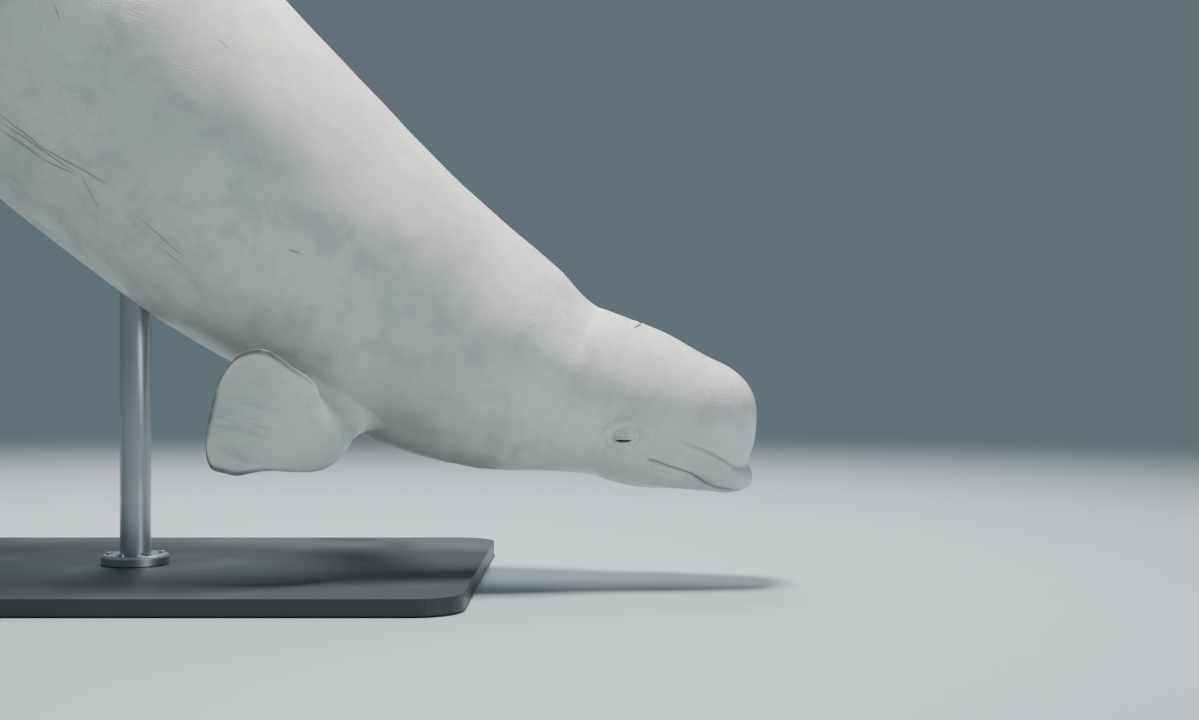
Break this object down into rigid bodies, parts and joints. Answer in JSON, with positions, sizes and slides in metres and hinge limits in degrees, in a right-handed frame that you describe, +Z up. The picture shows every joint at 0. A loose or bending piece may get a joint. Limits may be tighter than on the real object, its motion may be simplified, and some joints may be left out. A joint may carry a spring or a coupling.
{
  "type": "whale model",
  "caption": "Life-size museum model of a white beluga whale, swimming nose-down with its flippers swept back, carried on steel rods over a flat floor base.",
  "frame": {"origin": "on the underside of the stand's base, at its centre, below the whale's mass centre", "axes": "+Z up, +X the way the whale swims, its right flank towards -Y"},
  "size_m": [3.6891, 1.1, 2.5428],
  "materials": {
    "skin": "satin",
    "eye": "gloss",
    "stand_paint": "satin",
    "stand_steel": "brushed"
  },
  "bodies": {
    "root": {"head": "skin", "melon": "skin", "lower_jaw": "skin", "eye_left": "eye", "eye_right": "eye", "neck": "skin", "chest": "skin", "belly": "skin", "loin": "skin", "tail_stock": "skin", "dorsal_ridge": "skin", "flipper_left": "skin", "flipper_right": "skin", "fluke_left": "skin", "fluke_right": "skin", "stand_base": "stand_paint", "stand_rod_front": "stand_steel", "stand_rod_rear": "stand_steel", "stand_collar_front": "stand_steel", "stand_collar_rear": "stand_steel"}
  },
  "joints": []
}
